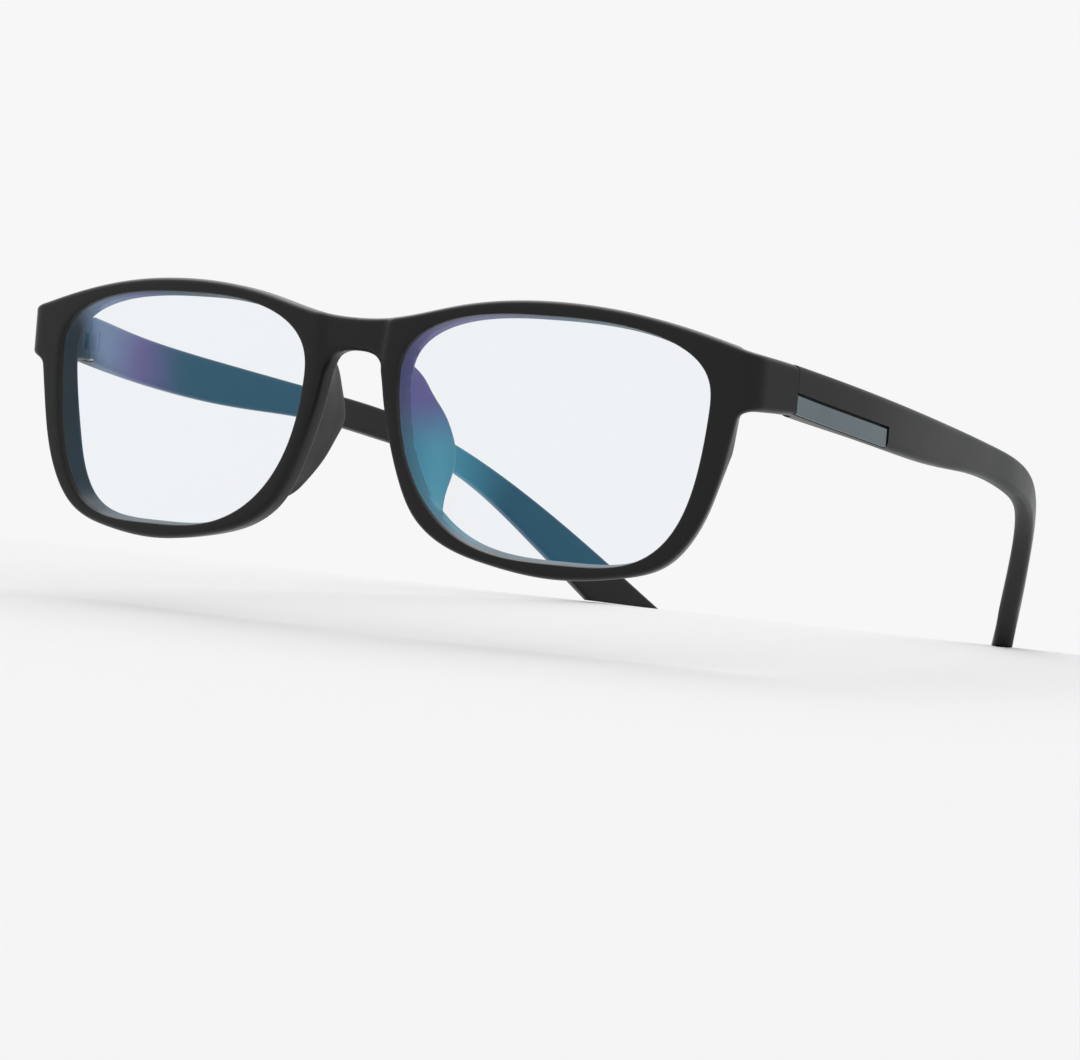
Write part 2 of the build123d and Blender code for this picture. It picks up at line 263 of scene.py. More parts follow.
def post(outline, low, high):
    """A prism over an outline in plan, between two heights."""
    floor = np.column_stack([outline, np.full(len(outline), low)])
    roof = np.column_stack([outline, np.full(len(outline), high)])
    return tube(np.stack([floor, roof]))


def inside(loop, points):
    """True for each point that is inside the loop."""
    x, z = points[:, 0][:, None], points[:, 1][:, None]
    ax, az = loop[:, 0][None], loop[:, 1][None]
    bx, bz = np.roll(loop[:, 0], -1)[None], np.roll(loop[:, 1], -1)[None]
    crosses = (az > z) != (bz > z)
    reach = ax + (z - az) * (bx - ax) / np.where(bz == az, 1e-12, bz - az)
    return (np.sum(crosses & (x < reach), 1) % 2) == 1


def filled(outer, holes, spacing):
    """Triangles that fill an outline with holes, with a grid of points inside it.
    Gives the points that were added and the triangles over loops and added points."""
    loops = [outer] + holes
    ring = np.vstack(loops)
    low, high = outer.min(0), outer.max(0)
    us = np.arange(low[0], high[0], spacing)
    vs = np.arange(low[1], high[1], spacing * 0.87)
    u, v = np.meshgrid(us, vs)
    u = u + (np.arange(len(vs)) % 2)[:, None] * spacing / 2
    grid = np.column_stack([u.ravel(), v.ravel()])
    keep = inside(outer, grid)
    for hole in holes:
        keep &= ~inside(hole, grid)
    grid = grid[keep]
    near = np.full(len(grid), np.inf)
    for part in np.array_split(ring, 1 + len(ring) // 200):
        gap = np.linalg.norm(grid[:, None] - part[None], axis=2).min(1)
        near = np.minimum(near, gap)
    grid = grid[near > 0.55 * spacing]
    points = np.vstack([ring, grid])
    edges, start = [], 0
    for loop in loops:
        i = np.arange(len(loop))
        edges += np.column_stack([start + i, start + (i + 1) % len(loop)]).tolist()
        start += len(loop)
    done = delaunay_2d_cdt([Vector(p) for p in points.tolist()], edges, [], 0, 1e-6)
    triangles = np.array(done[2])
    middle = points[triangles].mean(1)
    keep = inside(outer, middle)
    for hole in holes:
        keep &= ~inside(hole, middle)
    return grid, triangles[keep]


def plate(outer, holes, outer_rings, hole_rings, place, spacing=0.9):
    """A solid plate. Each ring is (distance in from the edge, depth), front to back, and
    place() puts points of the flat drawing with their depths in space."""
    loops = [outer] + holes
    rings = [outer_rings] + [hole_rings] * len(holes)
    signs = [-1] + [1] * len(holes)
    edge_front = [grown(l, s * r[0][0]) for l, s, r in zip(loops, signs, rings)]
    edge_back = [grown(l, s * r[-1][0]) for l, s, r in zip(loops, signs, rings)]
    grid, triangles = filled(edge_front[0], edge_front[1:], spacing)
    front_at = np.vstack(edge_front + [grid])
    back_at = np.vstack(edge_back + [grid])
    last = outer_rings[-1][1]
    points = [place(front_at, np.full(len(front_at), outer_rings[0][1])),
              place(back_at, np.full(len(back_at), last))]
    faces = triangles.tolist()
    faces += (triangles[:, ::-1] + len(front_at)).tolist()
    start = 2 * len(front_at)
    for loop, sign, ring in zip(loops, signs, rings):
        stack = [place(grown(loop, sign * inset), np.full(len(loop), depth))
                 for inset, depth in ring]
        points += stack
        faces += tube_faces(len(ring), len(loop), start)
        start += len(ring) * len(loop)
    return fresh(np.vstack(points), faces)


# ---- the front, drawn flat ----
def eye_loop(grow=0.0, step=0.7):
    """An opening, anticlockwise: four quarters of superellipses about its widest line."""
    turn = np.linspace(0, 2 * np.pi, 40001)
    across, up = np.cos(turn), np.sin(turn)
    high, outer = up >= 0, across >= 0
    square = np.select([high & outer, high, outer], [SQUARE_BROW, SQUARE_BRIDGE, SQUARE_CHEEK],
                       SQUARE_NOSE)
    middle = np.where(high, EYE_TOP_AT, EYE_BOTTOM_AT)
    half = EYE_W + grow - np.where(outer, middle, -middle)
    tall = grow + np.where(high, EYE_H - EYE_WIDEST, EYE_LOW + EYE_WIDEST)
    x = half * np.sign(across) * np.abs(across) ** (2 / square)
    z = tall * np.sign(up) * np.abs(up) ** (2 / square)
    x *= 1 - EYE_NARROWS * np.clip(-z / tall, 0, 1) ** 1.3
    loop = np.column_stack([unrolled(EYE_X + middle + x), EYE_Z + EYE_WIDEST + z])
    run = lengths(loop)
    at = np.linspace(0, run[-1], int(run[-1] / step) + 1)[:-1]
    return np.stack([np.interp(at, run, loop[:, k]) for k in (0, 1)], 1)


def unrolled(x):
    """Distance along the curved front to a point at x."""
    return RADIUS * np.arcsin(x / RADIUS)


def curve_y(x, depth=0.0):
    """Y of the curved front at x, at a depth behind its face."""
    return RADIUS - np.sqrt((RADIUS - depth) ** 2 - x ** 2)


def rim_points():
    """The rim's lower outside, as (x, z)."""
    side = np.where(np.array(RIM)[:, 0] > 0, RIM_OUTER, RIM_NOSE)
    u, v = np.array(RIM).T
    return np.column_stack([EYE_X + u * (EYE_W + side), EYE_Z + v * (EYE_H + RIM_BOTTOM)])


def bezier(a, b, c, d, count):
    """Points of the curve from a to d that b and c pull on."""
    t = np.linspace(0, 1, count)[:, None]
    a, b, c, d = (np.asarray(p, float) for p in (a, b, c, d))
    return a * (1 - t) ** 3 + 3 * b * t * (1 - t) ** 2 + 3 * c * t ** 2 * (1 - t) + d * t ** 3


def front_loop(step=0.7):
    """The outside of the front, in s and z, anticlockwise from the middle of the arch."""
    arch = [(0, ARCH_TOP), (1.7, 10.32), (3.3, 9.95), (4.35, 9.3), (4.9, 8.4)]
    under = np.array([(-1.7, 10.32)] + arch + rim_points()[::-1].tolist() + [NOTCH])
    under[:, 0] = unrolled(under[:, 0])
    under = along(under, step=step * 0.5)
    under = under[under[:, 0] > 0.0]
    under = np.vstack([[0, ARCH_TOP], under])[::2]
    under[-1] = (unrolled(NOTCH[0]), NOTCH[1])
    notch = bezier(under[-1], (66.7, 5.35), (68.2, LUG_LOW), (70.0, LUG_LOW), 9)
    lower = straight((70.0, LUG_LOW), (LUG_END, LUG_LOW), step)
    end = circle((LUG_END, 9.57), 3.67, -90, 90, 16)
    brow_x = np.array([0.0, 6.64, 18.5, 34.25, 51.7, 62.5])
    brow_z = np.array([15.45, 15.85, 18.35, 19.85, 18.35, 15.85])
    brow = np.column_stack([unrolled(brow_x), brow_z]).tolist()
    brow = [(-x, z) for x, z in brow[:0:-1]] + brow
    brow += [(68.6, 14.45), (72.0, 14.05), (LUG_END, LUG_HIGH)]
    brow = along(brow, step=step * 0.5)
    brow = brow[brow[:, 0] > 0.0][::2]
    top = np.vstack([brow[::-1], [0, BRIDGE_TOP]])
    top[0] = (LUG_END, LUG_HIGH)
    half = joined(under, notch, lower, end, top)
    other = half[::-1][1:-1] * [-1, 1]
    return np.vstack([half, other])


def plan_tables():
    """The outer and the inner plan curves, and their matching distances s."""
    x = np.arange(0, 67.0, 0.5)
    arc = np.column_stack([x, curve_y(x)])
    corner = np.array([CORNER, curve_y(CORNER)])
    along_arc = np.arcsin(67.0 / RADIUS)
    out_to = np.array([HALF, SEAM]) - corner
    turned = np.arctan2(out_to[1], out_to[0])
    tangent = CORNER_RADIUS * np.tan((turned - along_arc) / 2)
    begin = corner - tangent * np.array([np.cos(along_arc), np.sin(along_arc)])
    centre = begin + CORNER_RADIUS * np.array([-np.sin(along_arc), np.cos(along_arc)])
    a = np.linspace(along_arc, turned, 16)
    bend = centre + CORNER_RADIUS * np.column_stack([np.sin(a), -np.cos(a)])
    far = corner + out_to * 1.5
    outer = np.vstack([arc[arc[:, 0] < begin[0] - 0.1], bend, far])
    s = lengths(outer)
    x = np.arange(0, 64.2, 0.5)
    inner_arc = np.column_stack([x, curve_y(x, DEPTH)])
    y0 = curve_y(INNER, DEPTH)
    inner_bend = bezier(inner_arc[-1], (64.8, y0 - 0.06), (INNER, y0), (INNER, y0 + 1.0), 9)
    inner = np.vstack([inner_arc, inner_bend[1:], [INNER, far[1]]])
    t = lengths(inner)
    match_s = [0.0, unrolled(64.5), s[-2], s[-1]]
    match_t = [0.0, t[len(inner_arc) - 1], t[-2], t[-1]]
    return s, outer, t, inner, match_s, match_t


S_OUT, OUTER_PLAN, S_IN, INNER_PLAN, MATCH_S, MATCH_T = plan_tables()


def wrapped(flat, depth):
    """Points of the flat drawing and their depths, put in space."""
    side, s = np.sign(flat[:, 0]), np.abs(flat[:, 0])
    out = np.stack([np.interp(s, S_OUT, OUTER_PLAN[:, k]) for k in (0, 1)], 1)
    t = np.interp(s, MATCH_S, MATCH_T)
    back = np.stack([np.interp(t, S_IN, INNER_PLAN[:, k]) for k in (0, 1)], 1)
    place = out + (back - out) * (depth / DEPTH)[:, None]
    return np.column_stack([side * place[:, 0], place[:, 1], flat[:, 1]])


def sunk_bridge(flat, depth):
    """The front put in space, with the face of the bridge set back inside two creases, and
    the rim's lower outer side drawn in towards the back."""
    side, s = np.sign(flat[:, 0]), np.abs(flat[:, 0])
    low = smooth_step((6.5 - flat[:, 1]) / 14.0) * smooth_step((s - 50.0) / 16.0)
    taper = 1.2 * low * depth / DEPTH
    flat = np.column_stack([side * (s - taper), flat[:, 1]])
    crease = 6.1 + 0.14 * (flat[:, 1] - 10.0)
    share = smooth_step((crease - np.abs(flat[:, 0])) / 0.7)
    points = wrapped(flat, depth)
    points[:, 1] += 0.55 * share * (1 - depth / DEPTH)
    return points


def smooth_step(t):
    t = np.clip(t, 0, 1)
    return t * t * (3 - 2 * t)


def front_edge(width, deep, inset, count):
    """Rings round the front edge of a plate, a quarter of an ellipse."""
    a = np.linspace(0, np.pi / 2, count)
    return list(zip(inset + width * (1 - np.sin(a)), deep * (1 - np.cos(a))))


def back_edge(width, deep, inset, depth, count):
    """Rings round the back edge of a plate."""
    a = np.linspace(0, np.pi / 2, count)
    return list(zip(inset + width * (1 - np.cos(a)), depth - deep + deep * np.sin(a)))


def circle(centre, radius, start, end, count):
    """Points of an arc between two angles in degrees."""
    a = np.radians(np.linspace(start, end, count))
    return np.column_stack([centre[0] + radius * np.cos(a), centre[1] + radius * np.sin(a)])


def make_front():
    """The rims, the bridge, the end pieces and the tongues of the hinges."""
    outer_rings = front_edge(1.0, 1.4, 0.0, 8) + back_edge(0.8, 0.8, 0.1, DEPTH, 5)
    hole_rings = front_edge(0.35, 0.4, 0.0, 4) + [(0.0, 0.8)]
    hole_rings += back_edge(0.4, 0.5, -0.45, DEPTH, 4)
    right = eye_loop()
    left = (right * [-1, 1])[::-1]
    bm = plate(front_loop(), [right, left], outer_rings, hole_rings, sunk_bridge)
    cut_flat(bm, (0, SEAM, 0), (0, 1, 0), edge=0.18)
    for side in (1, -1):
        bm_from(bm, tongue(), side)
    return bm


def bm_from(target, source, side=1):
    """Add one bmesh to another, mirrored if side is -1."""
    if side < 0:
        bmesh.ops.scale(source, vec=(-1, 1, 1), verts=source.verts)
        bmesh.ops.reverse_faces(source, faces=source.faces)
    mesh = bpy.data.meshes.new("draft")
    source.to_mesh(mesh)
    target.from_mesh(mesh)
    bpy.data.meshes.remove(mesh)


def tongue():
    """The middle leaf of the hinge, with a round end and the screw's hole."""
    low, high = TONGUE_LOW, TONGUE_HIGH
    a = np.radians(np.arange(0, 360, 7.5))
    to_side = KNUCKLE / np.maximum(np.abs(np.cos(a)), 1e-6)
    to_root = TONGUE_ROOT / np.maximum(np.abs(np.sin(a)), 1e-6)
    to_edge = np.where(np.sin(a) < 0, np.minimum(to_side, to_root), KNUCKLE)
    way = np.column_stack([np.cos(a), np.sin(a)])
    out = HINGE[:2] + way * to_edge[:, None]
    bore = HINGE[:2] + way * SCREW_HOLE
    soft = HINGE[:2] + way * (to_edge - ARRIS)[:, None]
    rings = [(bore, low), (soft, low), (out, low + ARRIS),
             (out, high - ARRIS), (soft, high), (bore, high)]
    sections = np.stack([np.column_stack([r, np.full(len(r), z)]) for r, z in rings])
    faces = tube_faces(len(rings), len(a), close_rows=True)
    return fresh(sections.reshape(-1, 3), faces)


def make_lens():
    """A lens a little larger than its opening, with its edge bevelled into the rim."""
    rings = [(0.45, 0.0), (0.12, 0.1), (0.0, 0.3), (0.0, 1.4), (0.12, 1.6), (0.45, 1.7)]

    def place(flat, depth):
        return wrapped(flat, depth + LENS_BACK)
    return plate(eye_loop(grow=0.35), [], rings, [], place, spacing=1.1)


# ---- the temples ----
# The stations of the plan and of the upper edge come from a fit made outside this script, and
# one of the lower edge's from the same measuring.
TEMPLE_PLAN = np.array([
    (69.5, 12), (HALF, SEAM), (71.6, 36), (70.5, 59), (67.6, 82), (62.4, 104.5), (51.2, 127),
    (37, TIP), (34.2, 153)])
TEMPLE_TOP = [
    (12, 13.85), (SEAM, 13.3), (36, 10.35), (59, 7.2), (82, 4.15), (104.5, -0.4), (127, -12.7),
    (TIP, -30.6)]
TEMPLE_BOTTOM = [
    (12, 6.8), (SEAM, 6.05), (30, 3.75), (47, 1.45), (62, 0.15), (78, -0.7), (95, -3.2),
    (109, -6.9), (128.6, -22.5), (138, -31.6)]
# How thick the temple is at each y.
TEMPLE_THICK = [(12, 4.7), (SEAM, 4.6), (30, 3.3), (59, 3.0), (104.5, 3.0), (127, 3.3), (153, 3.6)]
LEAN, LEAN_FROM, LEAN_OVER = 1.4, 100, 30    # how far the tip's lower edge leans in, and where


def outer_side(y):
    """The temple's outer face seen from above: its x at each y, and its slope dx/dy."""
    knots_y, knots_x = TEMPLE_PLAN[:, 1], TEMPLE_PLAN[:, 0]
    x = cubic(knots_y, knots_x, y)
    slope = (cubic(knots_y, knots_x, y + 0.05) - cubic(knots_y, knots_x, y - 0.05)) / 0.1
    return x, slope


def temple_points(y, z, depth, lean=0.0):
    """Points at a depth under the temple's outer face."""
    shape = y.shape
    x, slope = outer_side(y.ravel())
    x, slope = x.reshape(shape), slope.reshape(shape)
    run = np.sqrt(1 + slope ** 2)
    return np.stack([x - depth / run - lean, y + depth * slope / run, z], -1)


def section_loop(outer_radius, inner_radius, per_corner=6, per_side=9):
    """A rounded rectangle: shares of the thickness and the height, and millimetres added."""
    a = np.linspace(0, np.pi / 2, per_corner)
    c, s = np.cos(a), np.sin(a)
    ro, ri = outer_radius, inner_radius
    corners = [
        (0, 0, ro * (1 - s), ro * (1 - c)),            # outer lower: underside to outer face
        (0, 1, ro * (1 - c), -ro * (1 - s)),           # outer upper
        (1, 1, -ri * (1 - s), -ri * (1 - c)),          # inner upper
        (1, 0, -ri * (1 - c), ri * (1 - s)),           # inner lower
    ]
    ka, kb, da, db = [], [], [], []
    for k, (u, v, du, dv) in enumerate(corners):
        ka.append(np.full(per_corner, float(u)))
        kb.append(np.full(per_corner, float(v)))
        da.append(du)
        db.append(dv)
        nu, nv, ndu, ndv = corners[(k + 1) % 4]
        between = np.linspace(0, 1, per_side + 2)[1:-1] if k % 2 == 0 else np.array([0.5])
        ka.append(u + (nu - u) * between)
        kb.append(v + (nv - v) * between)
        da.append(du[-1] + (ndu[0] - du[-1]) * between)
        db.append(dv[-1] + (ndv[0] - dv[-1]) * between)
    return [np.concatenate(p) for p in (ka, kb, da, db)]


def band(y, low, high, outer, inner, radius=0.0):
    """A bar that follows the outer face, between two heights at each y and two depths."""
    if radius:
        ka, kb, da, db = section_loop(radius, radius, per_corner=3, per_side=3)
    else:
        ka, kb = np.array([0, 0, 1, 1.0]), np.array([0, 1, 1, 0.0])
        da = db = np.zeros(4)
    yy = np.repeat(y[:, None], len(ka), 1)
    zz = low[:, None] + (high - low)[:, None] * kb + db
    depth = outer + (inner - outer) * ka + da
    return tube(temple_points(yy, zz, depth))


def make_temple():
    """An arm with its fork, its recess and its tip, cut flat at the seam and where it rests."""
    count = 170
    head = along(TEMPLE_TOP, count=count)
    foot = along(TEMPLE_BOTTOM, count=count)
    ka, kb, da, db = section_loop(1.0, 0.8)
    height = np.linalg.norm(head - foot, axis=1)[:, None]
    b = (kb * height + db) / height
    y = foot[:, :1] + (head - foot)[:, :1] * b
    z = foot[:, 1:] + (head - foot)[:, 1:] * b
    thick = cubic(*np.array(TEMPLE_THICK).T, y.ravel()).reshape(y.shape)
    lean = LEAN * np.clip((y - LEAN_FROM) / LEAN_OVER, 0, 1) ** 2 * (1 - b)
    bm = tube(temple_points(y, z, ka * thick + da, lean))
    cut_flat(bm, (0, SEAM + GAP, 0), (0, -1, 0), edge=0.18)
    ground = TURN.T @ -SHIFT
    cut_flat(bm, ground.tolist(), (TURN.T @ np.array([0, 0, -1.0])).tolist(), edge=0.5)
    return cut_away(bm, *temple_cutters())


def plaque_line(y):
    """Lower edge of the temple over the plaque."""
    return cubic(*np.array(TEMPLE_BOTTOM).T, y)


def temple_cutters():
    """Shapes cut from a temple: the plaque's recess, the fork's slot and the screw's way in."""
    before, under, over = SEAM - 1, -5, 20       # past the temple's end, bottom and top
    y = np.linspace(before, RECESS_END, 26)
    recess = band(y, plaque_line(y) - 5, plaque_line(y) + RECESS_HIGH, -1.5, RECESS_DEEP)
    hx, hy = HINGE[:2]
    inwards = hx - 5
    slot = post(np.vstack([
        [[inwards, before], [hx + SLOT, before]], circle((hx, hy), SLOT, 0, 90, 12),
        [[inwards, hy + SLOT]]]), TONGUE_LOW - GAP, TONGUE_HIGH + GAP)
    corner = post(np.vstack([
        [[inwards, before], [hx, before]], circle((hx, hy), KNUCKLE, 270, 180, 10),
        [[inwards, hy]]]), 0, over)
    bore = post(circle((hx, hy), SCREW_HOLE, 0, 345, 24), under, over)
    head = post(circle((hx, hy), HEAD_HOLE, 0, 345, 24), HEAD_FROM, over)
    sleeve = post(circle((hx, hy), HEAD_HOLE, 0, 345, 24), under, SLEEVE_TO)
    return recess, slot, corner, bore, head, sleeve


def make_plaque():
    """A plain strip in the recess."""
    y = np.linspace(SEAM + PLAQUE_START, PLAQUE_END, 30)
    low, high = plaque_line(y) + PLAQUE_LOW, plaque_line(y) + PLAQUE_HIGH
    return band(y, low, high, PLAQUE_FACE, PLAQUE_BACK, radius=ARRIS)


# ---- nose pads ----
# At each height, (x, y) of the pad's rear edge and of its two feet on the rim. Most of the
# heights, and at first the rear edge, come from measuring done outside this script. The rear
# edge was then moved.
PAD_Z = np.array([9.2, 8.0, 5.0, 2.0, -1.0, -3.0, -6.0, -8.3, -10.6, -12.0, -13.6])
PAD_TIP = np.array([
    (7.5, 5.0), (8.0, 6.8), (8.8, 9.4), (9.7, 11.8), (10.6, 13.0), (11.5, 12.8), (12.4, 11.7),
    (12.9, 10.1), (13.5, 8.2), (14.1, 7.0), (15.4, 4.8)])
PAD_NOSE = np.array([
    (4.95, 1.8), (5.2, 1.8), (6.1, 1.8), (7.1, 1.8), (8.1, 1.8), (8.7, 1.8), (9.7, 1.8),
    (10.5, 1.8), (11.5, 1.8), (12.6, 1.9), (14.3, 2.2)])
PAD_LENS = np.array([
    (8.6, 3.4), (8.8, 3.6), (8.9, 3.8), (9.1, 3.9), (9.8, 3.9), (10.5, 3.9), (11.8, 3.9),
    (13.1, 3.9), (14.9, 3.8), (16.0, 3.7), (17.2, 3.4)])
PAD_ROUND = 0.85                             # radius of the rear edge


def make_pad():
    """A lobe that grows out of the rim beside the nose and runs back to a soft edge."""
    order = np.argsort(PAD_Z)
    z = np.linspace(PAD_Z.min(), PAD_Z.max(), 60)
    tip, nose, lens = (cubic(PAD_Z[order], p[order], z) for p in (PAD_TIP, PAD_NOSE, PAD_LENS))
    mid = (nose + lens) / 2
    way = tip - mid
    way /= np.linalg.norm(way, axis=1)[:, None]
    side = np.stack([way[:, 1], -way[:, 0]], 1)
    centre = tip - way * PAD_ROUND
    rows = [nose + [1.2, 0.0], nose]
    start, end = nose, centre - side * PAD_ROUND
    handle = 0.45 * np.linalg.norm(end - start, axis=1)[:, None]
    lead = way * 0.75 - side * 0.1
    for t in np.linspace(0, 1, 9)[1:]:
        rows.append(start * (1 - t) ** 3 + 3 * (start + lead * handle) * t * (1 - t) ** 2
                    + 3 * (end - way * handle) * t ** 2 * (1 - t) + end * t ** 3)
    for a in np.linspace(0, np.pi, 8)[1:]:
        rows.append(centre + PAD_ROUND * (way * np.sin(a) - side * np.cos(a)))
    start, end = centre + side * PAD_ROUND, lens
    for t in np.linspace(0, 1, 7)[1:]:
        sag = way * (-0.5 * np.sin(np.pi * t))
        rows.append(start * (1 - t) + end * t + sag * 0.4)
    rows.append(lens + [-0.4, -0.8])
    flat = np.stack(rows, 1)
    heights = np.repeat(z[:, None], flat.shape[1], 1)
    return tube(np.concatenate([flat, heights[..., None]], 2))


# ---- materials ----
def group(name, inputs, outputs):
    """An empty node group with its sockets, and its input and output nodes."""
    tree = bpy.data.node_groups.new(name, "ShaderNodeTree")
    for label, kind, value in inputs:
        socket = tree.interface.new_socket(label, in_out="INPUT", socket_type=kind)
        socket.default_value = value
    for label, kind in outputs:
        tree.interface.new_socket(label, in_out="OUTPUT", socket_type=kind)
    return tree, tree.nodes.new("NodeGroupInput"), tree.nodes.new("NodeGroupOutput")


def add(tree, kind, **settings):
    """A new node with its settings."""
    node = tree.nodes.new(kind)
    for key, value in settings.items():
        setattr(node, key, value)
    return node


def noise(tree, at, detail, scale=None, link_scale=None):
    """A noise value over a position, its scale set or linked."""
    node = add(tree, "ShaderNodeTexNoise")
    node.inputs["Detail"].default_value = detail
    tree.links.new(at, node.inputs["Vector"])
    if link_scale is not None:
        tree.links.new(link_scale, node.inputs["Scale"])
    else:
        node.inputs["Scale"].default_value = scale
    return node.outputs["Fac"]


def spread(tree, value, low, high, source=(0.35, 0.65)):
    """A value that changes over the surface, moved into another range."""
    node = add(tree, "ShaderNodeMapRange")
    node.inputs["From Min"].default_value, node.inputs["From Max"].default_value = source
    tree.links.new(value, node.inputs["Value"])
    for label, bound in (("To Min", low), ("To Max", high)):
        if isinstance(bound, (int, float)):
            node.inputs[label].default_value = bound
        else:
            tree.links.new(bound, node.inputs[label])
    return node.outputs["Result"]


def blend(tree, share, dark, light):
    """A colour between two, each a constant or linked."""
    node = add(tree, "ShaderNodeMix", data_type="RGBA")
    tree.links.new(share, node.inputs["Factor"])
    for socket, colour in ((node.inputs[6], dark), (node.inputs[7], light)):
        if isinstance(colour, tuple):
            socket.default_value = colour
        else:
            tree.links.new(colour, socket)
    return node.outputs[2]


def make_grain():
    """Moulded plastic: a fine spark-eroded grain over broad, faint clouds of tone."""
    tree, start, end = group("moulded grain", [
        ("Grain", "NodeSocketFloat", 2600.0), ("Clouds", "NodeSocketFloat", 60.0),
        ("Dark", "NodeSocketColor", (0.01, 0.01, 0.01, 1)),
        ("Light", "NodeSocketColor", (0.02, 0.02, 0.02, 1)),
        ("Smoothest", "NodeSocketFloat", 0.4), ("Roughest", "NodeSocketFloat", 0.6),
    ], [("Colour", "NodeSocketColor"), ("Roughness", "NodeSocketFloat"),
        ("Height", "NodeSocketFloat")])
    at = add(tree, "ShaderNodeTexCoord").outputs["Object"]
    fine = noise(tree, at, 2.0, link_scale=start.outputs["Grain"])
    cloud = noise(tree, at, 3.0, link_scale=start.outputs["Clouds"])
    both = add(tree, "ShaderNodeMath", operation="MULTIPLY_ADD")
    tree.links.new(fine, both.inputs[0])
    both.inputs[1].default_value = 0.35
    tree.links.new(spread(tree, cloud, 0.0, 0.65, (0.3, 0.7)), both.inputs[2])
    colour = blend(tree, both.outputs[0], start.outputs["Dark"], start.outputs["Light"])
    tree.links.new(colour, end.inputs["Colour"])
    rough = spread(tree, cloud, start.outputs["Smoothest"], start.outputs["Roughest"])
    tree.links.new(rough, end.inputs["Roughness"])
    tree.links.new(fine, end.inputs["Height"])
    return tree


def make_turned():
    """Small turned metal parts: fine rings of tool marks and a faint stain."""
    tree, start, end = group("turned metal", [
        ("Clean", "NodeSocketColor", (0.6, 0.6, 0.6, 1)),
        ("Stained", "NodeSocketColor", (0.4, 0.4, 0.4, 1)),
    ], [("Colour", "NodeSocketColor"), ("Roughness", "NodeSocketFloat"),
        ("Height", "NodeSocketFloat")])
    at = add(tree, "ShaderNodeTexCoord").outputs["Object"]
    marks = add(tree, "ShaderNodeTexWave", wave_type="BANDS", bands_direction="Z")
    marks.inputs["Scale"].default_value = 2500.0
    marks.inputs["Distortion"].default_value = 0.6
    tree.links.new(at, marks.inputs["Vector"])
    stain = noise(tree, at, 3.0, scale=900.0)
    tree.links.new(blend(tree, spread(tree, stain, 0.0, 1.0), start.outputs["Clean"],
                         start.outputs["Stained"]), end.inputs["Colour"])
    tree.links.new(spread(tree, stain, 0.22, 0.4), end.inputs["Roughness"])
    tree.links.new(marks.outputs["Fac"], end.inputs["Height"])
    return tree


def material(name, effect, values, relief, **sockets):
    """A Principled material whose colour, roughness and relief come from a group."""
    made = bpy.data.materials.new(name)
    made.use_nodes = True
    tree = made.node_tree
    shader = tree.nodes["Principled BSDF"]
    for label, value in sockets.items():
        shader.inputs[label.replace("_", " ")].default_value = value
    source = add(tree, "ShaderNodeGroup", node_tree=effect)
    for label, value in values.items():
        source.inputs[label].default_value = value
    tree.links.new(source.outputs["Colour"], shader.inputs["Base Color"])
    tree.links.new(source.outputs["Roughness"], shader.inputs["Roughness"])
    bump = add(tree, "ShaderNodeBump")
    bump.inputs["Strength"].default_value = relief[0]
    bump.inputs["Distance"].default_value = relief[1]
    tree.links.new(source.outputs["Height"], bump.inputs["Height"])
    tree.links.new(bump.outputs["Normal"], shader.inputs["Normal"])
    return made


def grey(value, warm=0.0):
    return (value * (1 + warm), value, value * (1 - warm), 1)


# Tones that one face of a lens mirrors: a coating's tint with painted reflection, SHADE being
# painted shade and BRIGHT a bright painted reflection.
SHADE, STEEL, VIOLET = (0.003, 0.014, 0.024), (0.08, 0.13, 0.22), (0.055, 0.048, 0.15)
TEAL, BRIGHT = (0.004, 0.04, 0.07), (0.03, 0.16, 0.24)
# Where each lies, as shares of the way from the right end of the front to the left one.
TINT_AND_PAINTED_REFLECTION_HIGH = [(0.05, SHADE), (0.08, STEEL), (0.15, VIOLET), (0.22, TEAL), (0.45, TEAL),
                (0.62, VIOLET), (0.8, TEAL)]
TINT_AND_PAINTED_REFLECTION_LOW = [(0.05, SHADE), (0.25, TEAL), (0.56, TEAL), (0.65, BRIGHT), (0.74, TEAL)]
# How high the high ones start, as a share of 40 mm.
TINT_AND_PAINTED_REFLECTION_LINE = [(0.0, (0.66,) * 3), (0.45, (0.24,) * 3), (0.5, (0.58,) * 3)]


def ramp(tree, value, stops):
    """A colour that runs through stops of (position, colour)."""
    node = add(tree, "ShaderNodeValToRGB")
    marks = node.color_ramp.elements
    while len(marks) < len(stops):
        marks.new(0.5)
    for mark, (position, colour) in zip(marks, stops):
        mark.position = position
        mark.color = tuple(colour) + (1,)
    tree.links.new(value, node.inputs["Fac"])
    return node.outputs["Color"]


